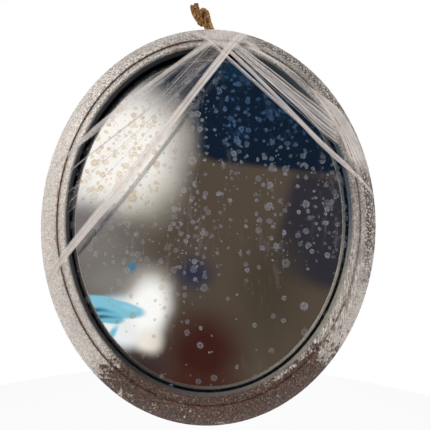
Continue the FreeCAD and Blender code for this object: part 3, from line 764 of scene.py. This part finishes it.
def centreline(name, points):
    """Even points along a smooth spline that has the route's points as its control points."""
    data = bpy.data.curves.new(name, "CURVE")
    data.dimensions = "3D"
    spline = data.splines.new("NURBS")
    spline.points.add(len(points) - 1)
    for knot, point in zip(spline.points, points):
        knot.co = (*point, 1)
    spline.order_u = 3
    spline.use_endpoint_u = True
    spline.resolution_u = 24
    curve = placed(name, data)
    bpy.context.view_layer.update()
    mesh = bpy.data.meshes.new_from_object(curve)
    line = [vertex.co.copy() for vertex in mesh.vertices]
    bpy.data.meshes.remove(mesh)
    bpy.data.objects.remove(curve)
    return evenly(line, max(2, round(lengths_along(line)[-1] / CORD_SPACING) + 1))


def twisted(line, radius, start=0.0, taper=0.0):
    """Three plies laid round a line; each is slightly uneven and ridged by the yarns in it."""
    plies, sides, ridges, ridge_lean = 3, 24, 5, 2.2
    ply_radius, offset = radius * 0.68, radius * 0.56
    spacing = (line[1] - line[0]).length
    rows = frames(line)
    points, faces = [], []
    for ply in range(plies):
        first = len(points)
        for index, (point, (_tangent, side, other)) in enumerate(zip(line, rows)):
            turned = index * spacing / CORD_PITCH
            angle = start + 2 * math.pi * (ply / plies + turned)
            uneven = 1 + 0.09 * noise.noise(Vector((index * 0.17, ply * 7.3, start)))
            left = (len(line) - 1 - index) * spacing
            end = math.sqrt(max(0.0, 1 - (1 - min(1.0, left / taper)) ** 2)) if taper else 1.0
            middle = point + toward(side, other, angle) * offset * uneven
            for around in angles(sides):
                ridge = 1 + 0.07 * math.cos(ridges * (around + ridge_lean * math.pi * turned))
                reach = ply_radius * uneven * ridge * (0.35 + 0.65 * end)
                points.append(middle + toward(side, other, around) * reach)
        faces += tube_faces(len(line), sides, first)
    return points, faces


def fuzz(line, count, draw):
    """Short stray fibres that stand off a cord."""
    sides, radii = 3, [0.075 * MM, 0.07 * MM, 0.06 * MM, 0.05 * MM, 0.02 * MM]
    rows = frames(line)
    parts = []
    for _ in range(count):
        index = draw.randrange(len(line))
        tangent, side, other = rows[index]
        out = toward(side, other, draw.uniform(0, 2 * math.pi))
        along = tangent * draw.choice((-1, 1))
        length = draw.uniform(1.6, 4.2) * MM
        lift = draw.uniform(0.15, 0.55) * MM
        path = []
        for step in range(len(radii)):
            share = step / (len(radii) - 1)
            path.append(line[index] + out * (CORD_RADIUS * 0.93 + lift * math.sin(share * 2.2))
                        + along * length * share
                        + side.cross(out) * draw.uniform(-0.1, 0.1) * MM)
        parts.append(tube(path, radii, sides))
    return joined(parts)


def jute_material():
    """Golden-brown jute, with painted shade in the lay between the plies and in the knot's hollows,
    so the crowns show paler.
    """
    nodes = Nodes("jute")
    strand = nodes.noise(1300, 3, 0.7)
    colour = nodes.ramp(nodes.noise(300, 2, 0.6), [
        (0.34, (0.13, 0.046, 0.006)), (0.50, (0.34, 0.140, 0.024)), (0.66, (0.74, 0.42, 0.120))])
    crown = nodes.add("NewGeometry").outputs["Pointiness"]
    painted_occlusion = nodes.add("AmbientOcclusion", {"Distance": 4 * MM}, samples=8).outputs["AO"]
    # The strand noise is the yarns' own colour; the pointiness and occlusion steps lay painted
    # shade into the hollows.
    for value, low, high, share, dark in (
            (strand, 0.36, 0.60, 0.65, (0.055, 0.022, 0.004)),
            (crown, 0.43, 0.53, 0.95, (0.04, 0.016, 0.003)),
            (painted_occlusion, 0.15, 0.62, 0.90, (0.022, 0.008, 0.001))):
        colour = nodes.blend(nodes.step(value, low, high, share, 0.0), colour, dark)
    return nodes.surface(Base_Color=colour, Roughness=0.8, Sheen_Weight=0.1,
                         Normal=nodes.bump(strand, 0.3 * MM, 0.8))


def in_cord_plane(route):
    """A route in mm, laid in the plane of the screw eye's middle."""
    return [at(right * MM, up * MM, EYE_DEPTH) for right, up in route]


def make_cord():
    """The loop at the eye, its knot, the two cut tails, and the fibres that stand off them."""
    draw = random.Random(11)
    material = jute_material()
    loop = centreline("loop_route", in_cord_plane(LOOP_ROUTE))
    cord = new_piece("jute_loop", *twisted(loop, CORD_RADIUS), material)
    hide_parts("hanging_cord")
    strands = []
    for index, route in enumerate(KNOT_STRANDS):
        places = [at(right * MM, up * MM, depth * MM) for right, up, depth in route]
        strands.append(centreline("knot_route_%d" % index, places))
    knot = new_piece("jute_knot", *joined(
        [twisted(line, CORD_RADIUS, start=index) for index, line in enumerate(strands)]), material)
    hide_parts("cord_knot")
    hairs = [fuzz(loop, 90, draw)]
    hairs += [fuzz(line, 3 * len(line) // 4, draw) for line in strands]
    for name, route, node, taper in (
            ("jute_tail_left", TAIL_LEFT_ROUTE, "cord_tail_left", 2.2 * MM),
            ("jute_tail_right", TAIL_RIGHT_ROUTE, "cord_tail_right", 0.7 * MM)):
        line = centreline(name + "_route", in_cord_plane(route))
        tail = new_piece(name, *twisted(line, CORD_RADIUS * 1.12, taper=taper), material)
        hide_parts(node)
        hairs.append(fuzz(line, 34, draw))
    new_piece("jute_fuzz", *joined(hairs), material)


# ---- stretched web ----


def on_frame(right, up, lift):
    """A plan point in mm lifted onto the frame's front, or down its side if it lies beyond it."""
    inward, turn = distance_in(right * MM, up * MM)
    if inward > 0:
        return at(right * MM, up * MM, face_depth(inward) + lift)
    return at(*outline(turn, -lift), max(CHEEK_DEPTH + inward, 12 * MM))


def smooth_line(places, count):
    """Points at even steps along a smooth line through plan places, and its length."""
    steps = 16
    places = [Vector(place) for place in places]
    places = [places[0], *places, places[-1]]
    dense = []
    for before, start, end, after in zip(places, places[1:], places[2:], places[3:]):
        for step in range(steps):
            share = step / steps
            bend = (2 * before - 5 * start + 4 * end - after) * share ** 2
            curl = (3 * start - before - 3 * end + after) * share ** 3
            dense.append((2 * start + (end - before) * share + bend + curl) / 2)
    dense.append(places[-1])
    return evenly(dense, count), lengths_along(dense)[-1] * MM


def web_material(name, band):
    """White stretched fibre, thin enough to see through between its streaks."""
    nodes = Nodes(name)
    streaks, tone = band["streaks"], band["tone"]
    along, across = nodes.named("along"), nodes.named("across")
    where = nodes.add("CombineXYZ", {0: along, 1: across, 2: 0.0}).outputs[0]
    threads = nodes.noise(1.0, 2, 0.6, nodes.stretch((1.1, streaks, 1.0), vector=where))
    fine = nodes.noise(1.0, 2, 0.7, nodes.stretch((3.0, streaks * 5, 1.0), vector=where))
    thin = nodes.times(nodes.step(threads, 0.36, 0.62, band["thinnest"], 1.0),
                       nodes.step(nodes.noise(45, 2, 0.6), 0.25, 0.60, 0.75, 1.0))
    thin = nodes.times(thin, nodes.step(fine, 0.34, 0.60, 0.68, 1.0))
    alpha = nodes.math("MULTIPLY", thin, nodes.times(nodes.named("body"), band["strength"]),
                       clamp=True)
    pale = [min(1.0, level * 1.18) for level in tone]
    colour = nodes.blend(nodes.step(fine, 0.45, 0.68), tone, pale)
    if band["mirrored"]:
        # The band's back, which only the mirror shows, gets painted shade: a dark colour and a
        # narrower core.
        shaded_back = nodes.add("NewGeometry").outputs["Backfacing"]
        colour = nodes.blend(shaded_back, colour, (0.13, 0.15, 0.19))
        aside = nodes.math("ABSOLUTE", nodes.math("SUBTRACT", across, 0.5))
        core = nodes.step(aside, 0.14, 0.30, 1.0, 0.12)
        alpha = nodes.times(alpha, nodes.blend(shaded_back, (1, 1, 1), core))
    return nodes.surface(Base_Color=colour, Roughness=0.55, Alpha=alpha, Specular_IOR_Level=0.3)


def gauze(name, edges, looks):
    """A thin translucent band of web between two plan edges."""
    band = {**USUAL_BAND, **looks}
    steps, columns = 90, 14
    (first, first_length), (second, second_length) = (
        smooth_line(edge, steps + 1) for edge in edges)
    places = [(share / steps, part / columns)
              for share in range(steps + 1) for part in range(columns + 1)]
    points, bodies = [], []
    for along, across in places:
        step = round(along * steps)
        right, up = first[step].lerp(second[step], across)
        points.append(on_frame(right, up, band["lift"] * MM))
        body = min(1.0, 0.15 + 0.85 * min(across, 1 - across) / band["edge"])
        for reach, away in zip(band["ends"], (along, 1 - along)):
            body *= min(1.0, away / reach) if reach else 1.0
        bodies.append(body)
    faces = grid_faces(steps + 1, columns + 1)
    start, aside, onward = points[0], points[1], points[columns + 1]
    if (aside - start).cross(onward - start).y > 0:
        faces = [tuple(reversed(face)) for face in faces]
    piece = new_piece(name, points, faces, web_material(name, band))
    for key, values in zip(("along", "across", "body"), (*zip(*places), bodies)):
        store(piece, key, values)
    piece.visible_glossy = band["mirrored"]
    if "node" in band:
        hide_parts(band["node"])


# Bands of web in plan, in mm from the oval's centre: two edges, and then the looks. strength is how
# dense a band is, thinnest how dense between its streaks, ends how far it fades in and out, edge
# how wide its soft edge is as a share of its width, lift how far it stands off the frame in mm, and
# mirrored whether the mirror shows its back. node is the CAD sheet that it stands for.
USUAL_BAND = dict(ends=(0.0, 0.0), thinnest=0.3, edge=0.12, lift=0.25, mirrored=False,
                  tone=(0.665, 0.592, 0.552))
WEB_BANDS = [
    ("gauze_crown",
     ((-15, 205), (-12, 190), (0, 176), (13, 167)),
     ((44, 203), (36, 186), (27, 174), (20, 165)),
     dict(node="web_crown", rests_on=["leaf_moulding"], strength=0.72, streaks=3, thinnest=0.8,
          tone=(0.66, 0.585, 0.555), ends=(0.0, 0.12))),
    ("gauze_left_upper",
     ((-2, 183), (-8, 178), (-36, 154), (-69, 125), (-114, 82), (-132, 62), (-154, 38),
      (-168, 25)),
     ((4, 177), (-4, 171), (-32, 150), (-65, 122), (-110, 78), (-130, 57), (-154, 35), (-168, 21)),
     # Its tone, darker than the other bands', is painted shade on the same fibre.
     dict(node="web_strand_left_upper", strength=0.92, streaks=3, thinnest=0.6,
          tone=(0.60, 0.54, 0.505), ends=(0.0, 0.04), edge=0.2)),
    ("gauze_left_lower",
     ((29, 196), (11, 171), (-37, 98), (-86, 26), (-135, -45), (-151, -66), (-160, -78)),
     ((36, 193), (17, 164), (-24, 103), (-79, 18), (-104, -16), (-127, -47), (-142, -67),
      (-156, -87)),
     dict(node="web_strand_left_lower", strength=0.92, streaks=4, thinnest=0.6, ends=(0.0, 0.05),
          mirrored=True, lift=0.45)),
    ("gauze_right_lower",
     ((-26, 197), (-13, 187), (2, 178), (20, 166), (54, 131), (80, 103), (105, 76), (129, 50),
      (156, 27), (168, 16)),
     ((-28, 194), (-14, 183), (0, 175), (17, 162), (49, 130), (80, 96), (104, 68), (129, 44),
      (156, 22), (168, 11)),
     dict(node="web_strand_right_lower", strength=0.94, streaks=3, thinnest=0.55,
          ends=(0.06, 0.03), edge=0.16)),
    ("gauze_right_upper",
     ((22, 178), (34, 169), (51, 155), (70, 140), (91, 122), (110, 107), (128, 91)),
     ((14, 171), (23, 164), (45, 143), (70, 119), (91, 99), (111, 78), (131, 62)),
     dict(node="web_strand_right_upper", rests_on=["leaf_moulding"], strength=0.72, streaks=9,
          thinnest=0.12, ends=(0.0, 0.04), edge=0.06)),
    ("gauze_film_right",
     ((28, 188), (51, 169), (81, 149), (108, 124), (131, 109), (145, 92), (159, 60), (172, 34)),
     ((30, 173), (51, 163), (74, 150), (98, 132), (117, 100), (129, 78), (139, 50), (146, 33)),
     dict(node="web_film_right", rests_on=["leaf_moulding"], strength=0.95, streaks=7,
          thinnest=0.62, tone=(0.68, 0.61, 0.57), ends=(0.06, 0.10), edge=0.05)),
    ("gauze_apex_left",
     ((-38, 196), (-20, 184), (4, 170)),
     ((-8, 200), (2, 186), (12, 170)),
     dict(strength=0.5, streaks=8, ends=(0.1, 0.2))),
    ("gauze_fan_left",
     ((-4, 176), (-36, 139), (-69, 96)),
     ((12, 168), (-24, 126), (-60, 76)),
     dict(strength=0.24, streaks=12, ends=(0.0, 0.65))),
    ("gauze_second_left",
     ((-8, 155), (-36, 126), (-84, 82), (-128, 41), (-140, 29)),
     ((-6, 152), (-34, 124), (-82, 80), (-127, 39), (-139, 26)),
     dict(strength=0.80, streaks=2, thinnest=0.7, ends=(0.15, 0.05), tone=(0.33, 0.32, 0.34),
          edge=0.4)),
    ("gauze_third_left",
     ((-10, 146), (-50, 102), (-96, 52), (-140, 7)),
     ((-9, 144), (-49, 100), (-95, 50), (-140, 5)),
     dict(strength=0.55, streaks=2, thinnest=0.5, ends=(0.4, 0.05), tone=(0.40, 0.38, 0.39),
          edge=0.4)),
    ("gauze_fourth_left",
     ((-14, 140), (-60, 81), (-100, 31), (-138, -13)),
     ((-13, 138), (-59, 79), (-99, 29), (-138, -15)),
     dict(strength=0.50, streaks=2, thinnest=0.5, ends=(0.4, 0.05), tone=(0.42, 0.39, 0.39),
          edge=0.4)),
    ("gauze_left_wide",
     ((-4, 172), (-60, 96), (-130, 22)),
     ((12, 166), (-50, 78), (-137, -8)),
     dict(strength=0.10, streaks=22, thinnest=0.0)),
]

# Loose fibres: the span they start from, the span they end on, how many and how thick in mm.
WEB_FIBRES = [
    (((-9, 178), (-3, 171)), ((-155, 38), (-155, 33)), 9, (0.05, 0.11)),
    (((-6, 176), (12, 168)), ((-129, 22), (-137, -8)), 9, (0.03, 0.07)),
    (((12, 171), (17, 164)), ((-150, -65), (-141, -68)), 13, (0.05, 0.12)),
    (((-12, 186), (-13, 182)), ((155, 27), (156, 22)), 9, (0.06, 0.14)),
    (((24, 170), (32, 169)), ((122, 84), (129, 88)), 6, (0.10, 0.16)),
    (((20, 165), (30, 168)), ((124, 64), (128, 86)), 12, (0.05, 0.12)),
    (((26, 188), (40, 180)), ((134, 104), (160, 56)), 7, (0.03, 0.07)),
    (((-16, 200), (6, 202)), ((6, 170), (18, 166)), 9, (0.03, 0.07)),
    (((22, 200), (40, 196)), ((6, 170), (18, 166)), 9, (0.03, 0.08)),
]


def make_web():
    """The bands, and loose fibres that run along and beside them."""
    draw = random.Random(5)
    steps, sides = 48, 4
    for name, *edges, looks in WEB_BANDS:
        gauze(name, edges, looks)
    fibres = []
    for starts, ends, count, (thin, thick) in WEB_FIBRES:
        for _ in range(count):
            first, second = draw.random(), draw.random()
            start = Vector(starts[0]).lerp(Vector(starts[1]), first)
            end = Vector(ends[0]).lerp(Vector(ends[1]), 0.8 * first + 0.2 * second)
            lift = draw.uniform(0.3, 0.5) * MM
            line = [on_frame(*start.lerp(end, step / steps), lift) for step in range(steps + 1)]
            fibres.append(tube(line, draw.uniform(thin, thick) * MM, sides))
    nodes = Nodes("fibre")
    tone = nodes.ramp(nodes.noise(300), [(0.3, (0.66, 0.60, 0.58)), (0.7, (0.90, 0.84, 0.81))])
    material = nodes.surface(Base_Color=tone, Roughness=0.5)
    piece = new_piece("web_fibres", *joined(fibres), material)
    piece.visible_glossy = False


# ---- back ----


def grained(name, dark, light, scale, roughness, metallic=0.0, detail=5, stretch=(1, 1, 1),
            black_from=None):
    """A two-tone material with a fine grain, painted black forward of a depth if one is given."""
    nodes = Nodes(name)
    grain = nodes.noise(scale, detail, 0.65, nodes.stretch(stretch))
    tone = nodes.ramp(grain, [(0.32, dark), (0.68, light)])
    if black_from:
        front = nodes.step(nodes.times(nodes.split()[1], -1.0),
                           black_from - 0.3 * MM, black_from + 0.3 * MM)
        tone = nodes.blend(front, tone, BLACK)
    return nodes.surface(Base_Color=tone, Roughness=roughness, Metallic=metallic,
                         Normal=nodes.bump(grain, 0.1 * MM, 0.6))


def dome_head(radius, height, slot_half, slot_floor):
    """A round head with a screwdriver slot, standing on the plane z = 0."""
    steps, sides, crown = 16, 48, 2.2
    rim = height * 0.25
    half = [0.0, slot_half * 0.9, slot_half]
    half += [share * radius for share in (0.32, 0.5, 0.7, 0.85, 0.95, 0.999)]
    columns = [-aside for aside in reversed(half)] + half[1:]
    points = []
    for aside in columns:
        reach = math.sqrt(radius ** 2 - aside ** 2)
        top = slot_floor if abs(aside) < slot_half else height
        for step in range(steps + 1):
            along = reach * (2 * step / steps - 1)
            far = math.hypot(aside, along) / radius
            level = rim + (height - rim) * (1 - min(far, 1.0) ** crown)
            points.append(Vector((aside, along, min(level, top))))
    skin = (points, grid_faces(len(columns), steps + 1))
    return joined([skin, tube([(0, 0, 0), (0, 0, rim)], radius, sides)])


def make_screws(brass):
    """Slotted round-head screws through the turn buttons, each left at its own angle."""
    draw = random.Random(3)
    radius, height, slot_half, slot_floor = 2.9 * MM, 1.8 * MM, 0.42 * MM, 0.9 * MM
    shank, taper, sides = 1.45 * MM, 2.5 * MM, 16
    low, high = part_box("button_screws")
    parts = []
    for joint in frame["joints"]:
        across, _depth, up = joint["pos_m"]
        foot = (across, high.y - height, up)
        points, faces = dome_head(radius, height, slot_half, slot_floor)
        stand = (Matrix.Translation(foot) @ Matrix.Rotation(-math.pi / 2, 4, "X")
                 @ Matrix.Rotation(draw.uniform(0, math.pi), 4, "Z"))
        parts.append(([stand @ point for point in points], faces))
        path = [foot, (across, low.y + taper, up), (across, low.y, up)]
        parts.append(tube(path, [shank, shank * 0.85, shank * 0.2], sides))
    piece = new_piece("screws_slotted", *joined(parts), brass, smooth=False)
    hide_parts("button_screws")


def make_eye(brass):
    """A screw eye bent from round wire: nearly a full ring, then a shank into the wood."""
    low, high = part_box("screw_eye")
    wire = (high.x - low.x) / 2
    ring = (high.z - low.z) / 2 - wire
    middle = Vector(((low.x + high.x) / 2, high.y - ring - wire, (low.z + high.z) / 2))
    back, up, neck = Vector((0, 1, 0)), Vector((0, 0, 1)), 1.6 * MM
    bend, steps, sides = 172, 48, 20
    path = [Vector((middle.x, low.y, middle.z)), Vector((middle.x, low.y + 2 * MM, middle.z)),
            middle - back * (ring + neck)]
    for step in range(steps + 1):
        angle = math.radians(2 * bend * step / steps - bend)
        path.append(middle + toward(back, up, angle) * ring)
    radii = [wire * 0.25, wire * 0.9, wire * 0.95] + [wire] * (steps + 1)
    piece = new_piece("eye_wire", *tube(path, radii, sides), brass)
    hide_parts("screw_eye")


def paint_back():
    """The CAD nodes that show as they are; the wood is black where it shows round the glass."""
    rabbet = GLASS_DEPTH - 4 * MM
    brass = grained("brass", (0.40, 0.28, 0.11), (0.62, 0.47, 0.20), 500, 0.35, 1.0)
    make_screws(brass)
    make_eye(brass)
    zinc = grained("zinc", (0.48, 0.48, 0.47), (0.62, 0.62, 0.60), 350, 0.38, 1.0)
    rubber = grained("rubber", (0.035, 0.034, 0.033), (0.055, 0.053, 0.05), 700, 0.8)
    finishes = {
        "frame_moulding": grained("stained_wood", (0.12, 0.062, 0.036), (0.20, 0.115, 0.070), 60,
                                  0.7, detail=4, stretch=(1, 1, 6), black_from=rabbet),
        "inner_slip": grained("slip_wood", (0.16, 0.10, 0.07), (0.22, 0.14, 0.09), 80, 0.7,
                              detail=4, black_from=rabbet),
        "backing_board": grained("plywood", (0.42, 0.29, 0.17), (0.60, 0.45, 0.29), 45, 0.75,
                                 stretch=(7, 1, 0.5)),
        "glass_pad": grained("grey_card", (0.40, 0.38, 0.34), (0.48, 0.46, 0.42), 300, 0.9),
        "button_screws": brass,
        "screw_eye": brass,
        "wall_bumper_left": rubber,
        "wall_bumper_right": rubber,
    }
    finishes.update({name: zinc for name in NODES if name.startswith("turn_button")})
    for name, material in finishes.items():
        coat(name, material)


bpy.context.scene.view_settings.view_transform = "Standard"
make_camera()
make_world()
make_lamp("key", (-1.0, -1.25, 0.75), 0.9, 14)
make_lamp("fill", (1.2, -1.1, 0.1), 0.9, 7)
make_lamp("rim", (0.4, 1.2, 0.9), 0.9, 8)
make_floor()
make_room_card()
make_leaf()
make_mirror()
make_cord()
make_web()
paint_back()
